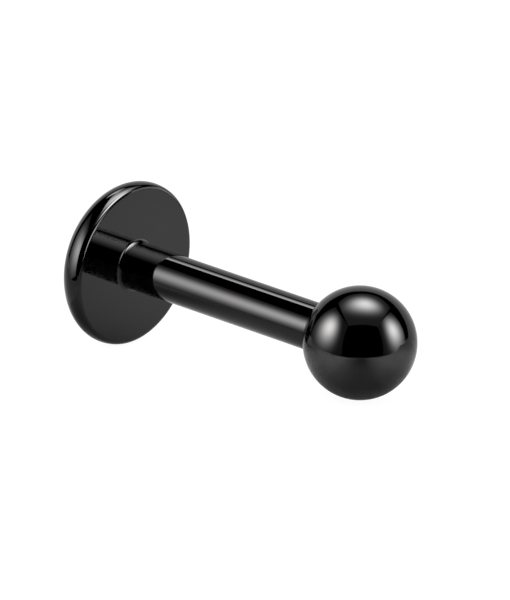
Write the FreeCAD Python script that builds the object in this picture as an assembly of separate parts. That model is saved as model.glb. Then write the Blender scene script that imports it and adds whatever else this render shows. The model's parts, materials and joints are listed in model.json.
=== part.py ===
import FreeCAD, Part
import math
import os

from FreeCAD import Vector

# A labret stud: a straight post with a domed disc on one end and a ball that screws onto the other.
# Lengths are in millimetres and angles in degrees.
# Both pieces are turned about the X axis, with the disc's flat inner face at x = 0 and the ball at +x.
# The stud is then laid down on z = 0, on the disc's rim and the ball, as it lies on a table by itself.

# Driving dimensions of the disc
disc_d = 4.16           # at its widest ring
rim_back = 0.24         # from the inner face back to the widest ring
dome_h = 1.00           # from the widest ring back to the top of the dome
rim_round = 0.12        # rounding of the edge round the inner face

# Driving dimensions of the post, a 16 gauge rod
post_d = 1.20
post_round = 0.10       # fillet where the post grows out of the disc

# Driving dimensions of the ball
ball_d = 2.78
ball_at = 7.42          # from the inner face to the ball's centre

# Screw thread on the post's end, M1.2 x 0.25 with a little off its crest, and the hole that takes it
thread_d = 1.16
pitch = 0.25
thread_l = 1.60
neck_l = 0.40           # undercut between the post's shoulder and the first turn
tip_bevel = 0.10
socket_l = 0.15         # how far the full post enters the ball
fit_gap = 0.02          # between the post or its thread and the ball's hole, all round
end_gap = 0.10          # between the thread's end and the bottom of the hole
drill_angle = 118.0     # point angle of the hole's bottom

# Sizes that follow
disc_r = disc_d / 2
post_r = post_d / 2
ball_r = ball_d / 2
thread_r = thread_d / 2
thread_depth = 0.6134 * pitch
root_r = thread_r - thread_depth
mouth_x = ball_at - math.sqrt(ball_r ** 2 - post_r ** 2)
shoulder_x = mouth_x + socket_l
tip_x = shoulder_x + thread_l

X_AXIS = Vector(1, 0, 0)
Y_AXIS = Vector(0, 1, 0)
ORIGIN = Vector(0, 0, 0)


def polyline(points):
    """Straight edges through (x, radius) points."""
    corners = [Vector(x, r, 0) for x, r in points]
    return [Part.LineSegment(a, b).toShape() for a, b in zip(corners, corners[1:])]


def turned(edges):
    """The solid that a half outline in the XY plane makes when it is turned about the X axis."""
    outline = Part.Wire(Part.__sortEdges__(edges))
    return Part.makeSolid(Part.makeShell(Part.Face(outline).revolve(ORIGIN, X_AXIS, 360).Faces))


def round_ring(solid, x, ring_r, radius):
    """Round the circular edge of radius ring_r that lies at x."""
    ring = [edge for edge in solid.Edges
            if not edge.Degenerated
            and isinstance(edge.Curve, Part.Circle)
            and abs(edge.Curve.Radius - ring_r) < 1e-6
            and abs(edge.Curve.Center.x - x) < 1e-6]
    return solid.makeFillet(radius, ring)


def thread_groove():
    """The groove between the turns: a helix cut from beyond the tip into the neck, 60 degrees wide."""
    start_x = shoulder_x + neck_l / 2
    crest_r = thread_r + 0.01
    root_half = pitch / 8
    crest_half = root_half + (crest_r - root_r) * math.tan(math.radians(30))
    helix = Part.makeHelix(pitch, tip_x + pitch - start_x, root_r)
    corners = [(root_r, -root_half), (crest_r, -crest_half), (crest_r, crest_half), (root_r, root_half)]
    section = Part.makePolygon([Vector(r, 0, z) for r, z in corners + corners[:1]])
    groove = Part.Wire(helix).makePipeShell([section], True, True)
    groove.rotate(ORIGIN, Y_AXIS, 90)
    groove.translate(Vector(start_x, 0, 0))
    return groove


def make_disc_post():
    """Disc, post and threaded end, one piece of steel."""
    # The rim and the domed back are one ellipse, cut off flat at the inner face.
    centre = Vector(-rim_back, 0, 0)
    ellipse = Part.Ellipse(centre + Vector(0, disc_r, 0), centre - Vector(dome_h, 0, 0), centre)
    dome = Part.ArcOfEllipse(ellipse, -math.asin(rim_back / dome_h), math.pi / 2).toShape()
    face_r = disc_r * math.sqrt(1 - (rim_back / dome_h) ** 2)
    outline = polyline([
        (0, face_r), (0, post_r), (shoulder_x, post_r), (shoulder_x, root_r),
        (shoulder_x + neck_l, root_r), (shoulder_x + neck_l + thread_depth, thread_r),
        (tip_x - tip_bevel, thread_r), (tip_x, thread_r - tip_bevel), (tip_x, 0),
        (-rim_back - dome_h, 0)])
    solid = turned([dome] + outline)
    solid = round_ring(solid, 0, face_r, rim_round)
    solid = round_ring(solid, 0, post_r, post_round)
    return solid.cut(thread_groove())


def make_ball():
    """Ball with a blind hole that faces the disc: a shallow socket for the post, then the thread's hole."""
    sphere = Part.makeSphere(ball_r, Vector(ball_at, 0, 0))
    socket_r = post_r + fit_gap
    hole_r = thread_r + fit_gap
    socket_end = shoulder_x + fit_gap
    hole_end = tip_x + end_gap
    point_x = hole_end + hole_r / math.tan(math.radians(drill_angle / 2))
    hole = turned(polyline([
        (0, 0), (0, socket_r), (socket_end, socket_r), (socket_end, hole_r),
        (hole_end, hole_r), (point_x, 0), (0, 0)]))
    return sphere.cut(hole)


def lie_down(shape):
    """Tip the ball's end down until rim and ball touch z = 0, with the origin under the stud's middle."""
    # With s the sine of the tilt, the disc's height over its rim equals the ball's:
    # sqrt(disc_r^2 - (disc_r^2 - dome_h^2) s^2) = ball_r + reach s
    reach = ball_at + rim_back
    a = reach ** 2 + disc_r ** 2 - dome_h ** 2
    b = 2 * ball_r * reach
    c = ball_r ** 2 - disc_r ** 2
    sine = (math.sqrt(b * b - 4 * a * c) - b) / (2 * a)
    cosine = math.sqrt(1 - sine ** 2)
    back_x = -rim_back * cosine - math.sqrt((dome_h * cosine) ** 2 + (disc_r * sine) ** 2)
    front_x = ball_at * cosine + ball_r
    laid = shape.copy()
    laid.rotate(ORIGIN, Y_AXIS, math.degrees(math.asin(sine)))
    laid.translate(Vector(-(back_x + front_x) / 2, 0, ball_r + ball_at * sine))
    return laid


nodes = {
    "disc_post": make_disc_post(),
    "ball": make_ball(),
}

os.makedirs("parts", exist_ok=True)
for name, solid in nodes.items():
    lie_down(solid).exportStep("parts/" + name + ".step")
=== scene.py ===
import json
import math

import bmesh
import bpy
from mathutils import Matrix, Vector


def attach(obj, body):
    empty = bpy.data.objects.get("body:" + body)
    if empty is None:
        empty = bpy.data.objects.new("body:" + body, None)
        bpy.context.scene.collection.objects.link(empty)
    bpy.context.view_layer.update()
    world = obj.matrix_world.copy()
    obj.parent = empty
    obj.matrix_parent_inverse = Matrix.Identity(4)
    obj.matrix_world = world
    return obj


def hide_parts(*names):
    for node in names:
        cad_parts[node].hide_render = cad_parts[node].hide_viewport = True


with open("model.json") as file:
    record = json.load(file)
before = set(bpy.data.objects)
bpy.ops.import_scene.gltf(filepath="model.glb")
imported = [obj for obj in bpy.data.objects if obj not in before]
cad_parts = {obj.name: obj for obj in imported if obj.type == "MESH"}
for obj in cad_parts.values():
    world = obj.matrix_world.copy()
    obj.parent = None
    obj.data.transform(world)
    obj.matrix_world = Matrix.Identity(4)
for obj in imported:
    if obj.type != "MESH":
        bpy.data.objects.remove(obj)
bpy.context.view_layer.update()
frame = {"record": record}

MM = 0.001                  # lengths are in millimetres until they are put into Blender

# Disc and post.
# One bar of surgical steel, turned on a lathe: a disc with a flat inner face, a rounded rim and a domed back,
# and the post that grows out of it. The hidden end is cut with a fine screw thread, and all of it is mirror-polished.
disc_radius = 2.08
rim_back = 0.24             # from the inner face back to the widest ring
dome_height = 1.00          # from the widest ring back to the top of the dome
rim_round = 0.12            # rounding of the edge round the inner face
post_radius = 0.60
post_round = 0.10           # fillet where the post leaves the disc
shoulder_at = 6.3162        # end of the full post, a little inside the ball
shoulder_bevel = 0.02
thread_radius = 0.58
thread_pitch = 0.25
thread_depth = 0.6134 * thread_pitch    # of a standard 60 degree thread
thread_length = 1.60
undercut = 0.40             # plain neck between the shoulder and the first turn
tip_bevel = 0.10
root_radius = thread_radius - thread_depth
tip_at = shoulder_at + thread_length
flat_support = 0.02         # a ring this close to each rounding keeps the flats beside it flat
around = 192                # facets round the axis, too fine for the polish to show

# The frame says how the stud lies: the post's axis, and the plane of the disc's inner face.
mounts = {mount["name"]: mount for mount in frame["record"]["mounts"]}
along = Vector(mounts["post"]["axis"]).normalized()
post_middle = Vector(mounts["post"]["pos_m"])
on_face = Vector(mounts["disc_face"]["pos_m"])
face_centre = post_middle - along * (post_middle - on_face).dot(along)
sideways = Vector((0, 1, 0))
upright = along.cross(sideways)
lie = Matrix.Translation(face_centre) @ Matrix((along, sideways, upright)).transposed().to_4x4()


def arc(centre, radius, start, end, steps):
    """Points (distance along the axis, distance from it) on an arc from start to end, in degrees."""
    angles = [math.radians(start + (end - start) * i / steps) for i in range(steps + 1)]
    return [(centre[0] + radius * math.cos(a), centre[1] + radius * math.sin(a)) for a in angles]


def turned_piece(name, stretches, radius_at=None):
    """A piece turned about the stud's axis from stretches of its half outline, with a crisp edge between two."""
    mesh = bmesh.new()
    rings = []
    for number, stretch in enumerate(stretches):
        for place, (x, radius) in enumerate(stretch):
            if number and not place:
                continue
            corner = place == len(stretch) - 1 and number < len(stretches) - 1
            if radius < 1e-6:
                ring = [mesh.verts.new((x * MM, 0, 0))] * around
            else:
                ring = []
                for i in range(around):
                    turn = 2 * math.pi * i / around
                    r = (radius_at(x, turn, radius) if radius_at else radius) * MM
                    ring.append(mesh.verts.new((x * MM, r * math.cos(turn), r * math.sin(turn))))
            rings.append((ring, corner))
    for (here, _), (there, _) in zip(rings, rings[1:]):
        for i in range(around):
            j = (i + 1) % around
            corners = [here[i], there[i], there[j], here[j]]
            face = mesh.faces.new([v for k, v in enumerate(corners) if v not in corners[:k]])
            face.smooth = True
    for ring, corner in rings:
        if corner:
            for i in range(around):
                mesh.edges.get((ring[i], ring[(i + 1) % around])).smooth = False
    bmesh.ops.recalc_face_normals(mesh, faces=mesh.faces)
    mesh.transform(lie)
    data = bpy.data.meshes.new(name)
    mesh.to_mesh(data)
    mesh.free()
    piece = bpy.data.objects.new(name, data)
    bpy.context.scene.collection.objects.link(piece)
    return piece


def dome_point(t):
    """A point of the rim and dome, which are one ellipse, and the direction that its surface faces."""
    point = Vector((-rim_back - dome_height * math.sin(t), disc_radius * math.cos(t)))
    return point, Vector((-math.sin(t) / dome_height, math.cos(t) / disc_radius)).normalized()


# The rounding of the face's edge touches both the flat face and the ellipse.
low, high = -math.pi / 3, 0.0
for _ in range(40):
    rim_end = (low + high) / 2
    point, outward = dome_point(rim_end)
    if (point - outward * rim_round).x > -rim_round:
        low = rim_end
    else:
        high = rim_end
rim_centre = point - outward * rim_round
dome_steps = 72
dome = [tuple(dome_point(math.pi / 2 + (rim_end - math.pi / 2) * i / dome_steps)[0]) for i in range(dome_steps)]
dome[0] = (dome[0][0], 0.0)
rim = arc(rim_centre, rim_round, math.degrees(math.atan2(outward.y, outward.x)), 0, steps=16)
fillet = arc((post_round, post_radius + post_round), post_round, 180, 270, steps=14)
face = [(0, rim_centre.y - flat_support), (0, post_radius + post_round + flat_support)]
post = [(post_round + flat_support, post_radius),
        (shoulder_at - shoulder_bevel - flat_support, post_radius), (shoulder_at - shoulder_bevel, post_radius)]
shoulder = [(shoulder_at - shoulder_bevel, post_radius), (shoulder_at, post_radius - shoulder_bevel)]
step_down = [shoulder[-1], (shoulder_at, root_radius)]
neck = [step_down[-1], (shoulder_at + undercut, root_radius)]
thread_start = shoulder_at + undercut
rows_a_turn = 24
thread_rows = rows_a_turn * math.ceil((tip_at - thread_start) / thread_pitch)
thread = [(thread_start + (tip_at - thread_start) * i / thread_rows, thread_radius) for i in range(thread_rows + 1)]


def thread_radius_at(x, turn, radius):
    """The thread's 60 degree groove, which runs round the end as a right-hand helix."""
    if x <= thread_start or radius < thread_radius - 1e-9:
        return radius
    groove = shoulder_at + undercut / 2 + thread_pitch * (turn + math.pi / 2) / (2 * math.pi)
    offset = abs((x - groove + thread_pitch / 2) % thread_pitch - thread_pitch / 2)
    root_half = thread_pitch / 8            # half the flat at the bottom of the groove
    cut = root_radius + max(0, offset - root_half) / math.tan(math.radians(30))
    run_in = root_radius + (x - thread_start)
    bevel = thread_radius - max(0, x - (tip_at - tip_bevel))
    return min(cut, run_in, bevel, thread_radius)


disc_post = turned_piece(
    "disc_and_post",
    [dome + rim + face + fillet + post, shoulder, step_down, neck + thread[1:],
     [thread[-1], (tip_at, root_radius - tip_bevel), (tip_at, 0)]],
    thread_radius_at)
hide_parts("disc_post")
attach(disc_post, "post")


def linear(hex_colour):
    """An sRGB hex value as the linear colour that a shader takes."""
    parts = [int(hex_colour[i:i + 2], 16) / 255 for i in (1, 3, 5)]
    return [c / 12.92 if c <= 0.04045 else ((c + 0.055) / 1.055) ** 2.4 for c in parts] + [1.0]


def add_node(tree, kind, inputs=None, **settings):
    """Adds a node with its settings, and gives each named input a value or links it to another node's output."""
    made = tree.nodes.new(kind)
    for name, value in settings.items():
        setattr(made, name, value)
    for socket, value in (inputs or {}).items():
        if isinstance(value, bpy.types.NodeSocket):
            tree.links.new(value, made.inputs[socket])
        else:
            made.inputs[socket].default_value = value
    return made


def new_material(name):
    """An empty node material and its tree."""
    material = bpy.data.materials.new(name)
    material.use_nodes = True
    material.node_tree.nodes.clear()
    return material, material.node_tree


def black_coated_steel(name, seed):
    """Surgical steel, mirror-polished on a felt wheel and coated black in a vapour chamber."""
    # The thin coating is a dark metal: it mirrors the room at a twenty-fifth of its brightness, and the tone drifts
    # a little between neutral and brown over about a millimetre, as the coating's thickness does.
    material, tree = new_material(name)
    place = add_node(tree, "ShaderNodeTexCoord").outputs["Object"]
    drift = add_node(tree, "ShaderNodeTexNoise", {"Vector": place, "W": seed, "Scale": 1 / (1.1 * MM), "Detail": 3.0},
                     noise_dimensions="4D")
    tone = add_node(tree, "ShaderNodeMix", {0: drift.outputs["Fac"], 6: linear("#383839"), 7: linear("#3a3938")},
                    data_type="RGBA")
    # The felt leaves a haze of hairlines about 0.02 mm apart, drawn here at 0.05 mm, and only just rough.
    haze = add_node(tree, "ShaderNodeTexNoise", {"Vector": place, "W": seed + 3, "Scale": 1 / (0.05 * MM),
                                                 "Detail": 2.0}, noise_dimensions="4D")
    rough = add_node(tree, "ShaderNodeMapRange", {"Value": haze.outputs["Fac"], "From Min": 0.3, "From Max": 0.7,
                                                  "To Min": 0.03, "To Max": 0.05})
    steel = add_node(tree, "ShaderNodeBsdfPrincipled", {
        "Base Color": tone.outputs[2], "Metallic": 1.0, "Roughness": rough.outputs["Result"]})
    add_node(tree, "ShaderNodeOutputMaterial", {"Surface": steel.outputs["BSDF"]})
    return material


disc_post.data.materials.append(black_coated_steel("black coated steel, bar", 1.0))

# Ball.
# The same steel, turned to a ball, drilled and tapped from one side, and coated with the post.
# It screws onto the thread until the full post stands a little way inside its mouth. Its hole is drawn without the
# tapped thread.
ball_radius = 1.39
ball_at = 7.42              # from the disc's inner face to the ball's centre
hole_gap = 0.02             # between the post or its thread and the hole
end_gap = 0.10              # between the thread's end and the bottom of the hole
mouth_round = 0.02
socket_radius = post_radius + hole_gap
hole_radius = thread_radius + hole_gap
hole_end = tip_at + end_gap
drill_angle = 118.0         # point angle of the hole's bottom
drill_point = hole_end + hole_radius / math.tan(math.radians(drill_angle / 2))

# The mouth's edge is rounded with a small arc that touches the sphere and the socket's wall.
lip_radius = socket_radius + mouth_round
lip_from_centre = math.sqrt((ball_radius - mouth_round) ** 2 - lip_radius ** 2)
lip_centre = (ball_at - lip_from_centre, lip_radius)
lip_angle = math.degrees(math.atan2(lip_radius, -lip_from_centre))
ball = turned_piece(
    "ball_bead",
    [arc((ball_at, 0), ball_radius, 0, lip_angle, steps=96)
     + arc(lip_centre, mouth_round, lip_angle, 270, steps=8)[1:]
     + [(shoulder_at + hole_gap, socket_radius)],
     [(shoulder_at + hole_gap, socket_radius), (shoulder_at + hole_gap, hole_radius)],
     [(shoulder_at + hole_gap, hole_radius), (hole_end, hole_radius)],
     [(hole_end, hole_radius), (drill_point, 0)]])
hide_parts("ball")
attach(ball, "ball")
ball.data.materials.append(black_coated_steel("black coated steel, ball", 7.0))

# Camera.
# A long lens, low over the ball's end of the stud, so that the near ball and the far disc keep their true sizes.
camera_azimuth = math.radians(41.925)
camera_elevation = math.radians(14.740)
camera_distance = 180.0
lens = 441.3                # for a sensor of 36 mm along the picture's long side
aim_height = 1.6
aim_right = 0.160
aim_up = 0.214
right = Vector((math.cos(camera_azimuth), math.sin(camera_azimuth), 0))
forward = Vector((math.sin(camera_azimuth), -math.cos(camera_azimuth), 0))
up = Vector((0, 0, 1))
to_camera = forward * math.cos(camera_elevation) + up * math.sin(camera_elevation)
picture_up = to_camera.cross(right)
aim = (up * aim_height + right * aim_right + picture_up * aim_up) * MM
camera_data = bpy.data.cameras.new("camera")
camera_data.sensor_width = 36
camera_data.lens = lens
camera_data.clip_start = 0.01
camera_data.clip_end = 3.0
camera = bpy.data.objects.new("camera", camera_data)
camera.matrix_world = Matrix.Translation(aim + to_camera * camera_distance * MM) @ Matrix(
    (right, picture_up, to_camera)).transposed().to_4x4()
bpy.context.scene.collection.objects.link(camera)
bpy.context.scene.camera = camera

# Studio.
# The stud lies on white paper over a lamp, so it casts almost no shadow. Round it hangs a small tent of lit cloths,
# open to the camera: the polish mirrors them, and the camera doesn't see them. The ball and the bar are lit apart,
# each by its own set of cloths.
tent = 40.0                 # from the ball's centre up to the ceiling
ball_centre = lie @ Vector((ball_at * MM, 0, 0))


def in_studio(to_right, height, toward):
    """A place measured from the ball's centre in tent heights: to the right, up and toward the camera."""
    return ball_centre + (right * to_right + up * height + forward * toward) * tent * MM


def ceiling_at(height, outline):
    """Corners of a level cloth at this height, from places (to the right, toward the camera)."""
    return [in_studio(to_right, height, toward) for to_right, toward in outline]


def wall_at(to_right, outline):
    """Corners of an upright cloth beside the stud, from places (up, toward the camera)."""
    return [in_studio(to_right, height, toward) for height, toward in outline]


def backdrop_at(toward, outline):
    """Corners of an upright cloth behind the stud, from places (to the right, up)."""
    return [in_studio(to_right, height, toward) for to_right, height in outline]


def stage_sheet(name, corners, material, camera=False, glossy=True):
    """A flat sheet of the studio with these corners, and whether the camera and the polish see it."""
    data = bpy.data.meshes.new(name)
    data.from_pydata(corners, [], [range(len(corners))])
    data.materials.append(material)
    sheet = bpy.data.objects.new(name, data)
    bpy.context.scene.collection.objects.link(sheet)
    sheet.visible_camera = camera
    sheet.visible_glossy = glossy
    sheet.visible_diffuse = False
    sheet.visible_shadow = False
    return sheet


def fall_off(tree, centre, halves):
    """A soft spot: 1 at its centre, a half at the half sizes (right, toward the camera, up) and 0 far from it."""
    place = add_node(tree, "ShaderNodeTexCoord").outputs["Object"]
    spot = add_node(tree, "ShaderNodeMapping", {
        "Vector": place, "Location": centre, "Rotation": (0, 0, camera_azimuth),
        "Scale": Vector(halves) * tent * MM}, vector_type="TEXTURE").outputs["Vector"]
    square = add_node(tree, "ShaderNodeVectorMath", {0: spot, 1: spot}, operation="DOT_PRODUCT").outputs["Value"]
    power = add_node(tree, "ShaderNodeMath", {0: square, 1: -1.0}, operation="MULTIPLY").outputs["Value"]
    return add_node(tree, "ShaderNodeMath", {0: 2.0, 1: power}, operation="POWER").outputs["Value"]


def lit_cloth(name, piece, corners, edge, peak=0.0, centre=None, halves=None):
    """Thin cloth with a lamp behind it, which lights one piece: peak on top of the edge's level at its centre."""
    material, tree = new_material(name)
    level = edge
    if peak:
        level = add_node(tree, "ShaderNodeMath", {0: fall_off(tree, centre, halves), 1: peak, 2: edge},
                         operation="MULTIPLY_ADD").outputs["Value"]
    glow = add_node(tree, "ShaderNodeEmission", {"Strength": level})
    gauze = add_node(tree, "ShaderNodeBsdfTransparent")
    cloth = add_node(tree, "ShaderNodeAddShader", {0: glow.outputs["Emission"], 1: gauze.outputs["BSDF"]})
    add_node(tree, "ShaderNodeOutputMaterial", {"Surface": cloth.outputs["Shader"]})
    sheet = stage_sheet(name, corners, material)
    lit = bpy.data.collections.new("lit by " + name)
    lit.objects.link(piece)
    sheet.light_linking.receiver_collection = lit


# The ball mirrors a soft spot in the ceiling and one in each wall.
lit_cloth("ceiling_for_ball", ball,
          ceiling_at(1.0, ((-0.53, 0.82), (0.79, 0.79), (0.98, -0.68), (0.45, -0.93), (-0.30, -0.78),
                           (-0.60, -0.58))),
          edge=0.25, peak=16.5, centre=in_studio(0.13, 1.0, -0.145), halves=(0.293, 0.233, 1.0))
lit_cloth("left_wall_for_ball", ball,
          wall_at(-0.7, ((1.25, 1.03), (-0.70, 0.90), (-0.50, -0.40), (0.95, -0.40))),
          edge=0.15, peak=17.5, centre=in_studio(-0.7, 0.42, 0.16), halves=(1.0, 0.215, 0.245))
lit_cloth("right_wall_for_ball", ball,
          wall_at(0.8, ((1.06, 0.81), (-0.70, 0.78), (-0.50, -0.12), (0.0, -0.15), (0.76, -0.31))),
          edge=0.15, peak=17.5, centre=in_studio(0.8, 0.365, 0.17), halves=(1.0, 0.186, 0.267))

# The post mirrors the left wall as a broad streak and the strip as a fine line over it, and the rim mirrors the
# ceiling and the left wall. The two right walls light the edge round the disc's face, and the lamp lights the bands
# that the post and the face mirror in each other.
lit_cloth("ceiling_for_bar", disc_post,
          ceiling_at(0.98, ((-0.45, 0.82), (0.79, 0.79), (0.98, -0.68), (0.45, -0.93), (-0.10, -0.80),
                            (-0.30, -0.50))),
          edge=0.3, peak=15.0, centre=in_studio(0.08, 0.98, -0.18), halves=(0.40, 0.27, 1.0))
lit_cloth("left_wall_for_bar", disc_post,
          wall_at(-0.68, ((0.66, 0.28), (-0.12, 0.28), (-0.12, -0.40), (0.66, -0.40))),
          edge=0.2, peak=8.0, centre=in_studio(-0.68, 0.215, 0.13), halves=(1.0, 0.26, 0.17))
lit_cloth("right_wall_for_bar", disc_post,
          wall_at(0.78, ((0.50, 1.15), (-0.25, 1.15), (-0.25, 0.25), (0.50, 0.25))),
          edge=0.0, peak=12.0, centre=in_studio(0.78, 0.04, 0.68), halves=(1.0, 0.35, 0.17))
lit_cloth("low_right_wall_for_bar", disc_post,
          wall_at(0.76, ((0.35, -0.08), (-0.14, -0.08), (-0.14, 0.22), (-0.30, 0.22), (-0.30, -0.70),
                         (0.35, -0.70))),
          edge=2.2)
lit_cloth("strip_for_bar", disc_post,
          ceiling_at(0.96, ((-0.55, -0.76), (-0.22, -0.60), (-0.08, -0.92), (-0.40, -1.08))),
          edge=0.0, peak=7.0, centre=in_studio(-0.38, 0.96, -0.69), halves=(0.4, 0.16, 1.0))
lit_cloth("lamp_for_bar", disc_post,
          ceiling_at(0.94, ((0.15, 1.10), (1.60, 1.10), (1.60, -0.30), (0.45, -0.10), (0.25, 0.45))),
          edge=0.0, peak=25.0, centre=in_studio(0.65, 0.94, 0.36), halves=(0.42, 0.42, 1.0))

# Behind the stud, both mirror an evenly lit cloth.
backdrop_outline = (
    (-1.26, -0.036), (-1.128, 0.576), (-0.60, 0.864), (0.0, 0.984), (1.056, 0.816), (1.56, 0.66), (1.992, 0.36),
    (2.64, -0.036))
lit_cloth("backdrop_for_ball", ball, backdrop_at(-1.2, backdrop_outline), edge=0.6)
lit_cloth("backdrop_for_bar", disc_post, backdrop_at(-1.18, backdrop_outline), edge=0.6)


def on_floor(to_right, toward, height=0.0):
    """A place by the floor, measured in mm from the ball to the right and toward the camera."""
    spot = ball_centre + (right * to_right + forward * toward) * MM
    return Vector((spot.x, spot.y, height * MM))


# The platform under the stud is a glowing panel on a black board. Only the polish sees it, and it ends near the ball.
# Its sheets lie a little apart, because the polish mirrors only one of two sheets in the same plane.
platform = (
    (-60, -30), (-13.35, -1.55), (-9.0, 3.53), (-3.74, 5.67), (0.0, 6.79), (4.77, 5.28), (6.1, 4.26), (8.15, 3.17),
    (120, 3.17), (120, -48), (-60, -48))
board, tree = new_material("black board")
flock = add_node(tree, "ShaderNodeBsdfDiffuse", {"Color": (0.0, 0.0, 0.0, 1.0)})
add_node(tree, "ShaderNodeOutputMaterial", {"Surface": flock.outputs["BSDF"]})
stage_sheet("board", [on_floor(x, y, -0.1) for x, y in platform], board)
lit_cloth("platform_for_ball", ball, [on_floor(x, y, -0.05) for x, y in platform],
          edge=0.55, peak=1.1, centre=on_floor(0, 3), halves=(12 / tent, 3.5 / tent, 1.0))
lit_cloth("platform_for_bar", disc_post, [on_floor(x, y, -0.03) for x, y in platform],
          edge=0.45, peak=0.62, centre=on_floor(2, -7), halves=(9.5 / tent, 4.2 / tent, 1.0))

# Painted shade on the panel: soft dark spots that dim its glow, as painted shadows close under the ball and under the
# disc, and in front of the ball, where the tent is open.
shade_sheet = ((-9, -9), (9, -9), (9, 15), (-9, 15))
for name, depth, to_right, toward, half_across, half_toward, height in (
        ("shade_of_ball", 0.93, 0.0, -0.2, 1.9, 1.5, -0.01),
        ("shade_in_front", 0.85, 0.0, 4.5, 1.6, 4.0, -0.02),
        ("shade_of_disc", 0.65, -7.2, -4.2, 1.9, 1.7, -0.015)):
    shade, tree = new_material(name)
    spot = fall_off(tree, on_floor(to_right, toward), (half_across / tent, half_toward / tent, 1.0))
    dim = add_node(tree, "ShaderNodeMath", {0: spot, 1: -depth, 2: 1.0}, operation="MULTIPLY_ADD")
    passing = add_node(tree, "ShaderNodeBsdfTransparent", {"Color": dim.outputs["Value"]})
    add_node(tree, "ShaderNodeOutputMaterial", {"Surface": passing.outputs["BSDF"]})
    stage_sheet(name, [on_floor(x, y, height) for x, y in shade_sheet], shade)

floor_half = 500.0
paper, tree = new_material("white paper over a lamp")
matte = add_node(tree, "ShaderNodeBsdfDiffuse", {"Color": linear("#606060")})
through = add_node(tree, "ShaderNodeEmission", {"Strength": 0.95})
sheet = add_node(tree, "ShaderNodeAddShader", {0: matte.outputs["BSDF"], 1: through.outputs["Emission"]})
add_node(tree, "ShaderNodeOutputMaterial", {"Surface": sheet.outputs["Shader"]})
stage_sheet("floor", [Vector((x, y, 0)) * floor_half * MM for x, y in ((-1, -1), (1, -1), (1, 1), (-1, 1))],
            paper, camera=True, glossy=False)

# The room round the tent is white to the camera and dark to the polish.
world = bpy.data.worlds.new("room")
bpy.context.scene.world = world
world.use_nodes = True
world.node_tree.nodes.clear()
tree = world.node_tree
ray = add_node(tree, "ShaderNodeLightPath")
white = add_node(tree, "ShaderNodeBackground", {"Color": (1, 1, 1, 1), "Strength": 1.05})
dark = add_node(tree, "ShaderNodeBackground", {"Color": (0, 0, 0, 1)})
room = add_node(tree, "ShaderNodeMixShader", {0: ray.outputs["Is Glossy Ray"], 1: white.outputs["Background"],
                                              2: dark.outputs["Background"]})
add_node(tree, "ShaderNodeOutputWorld", {"Surface": room.outputs["Shader"]})
bpy.context.scene.view_settings.view_transform = "Standard"
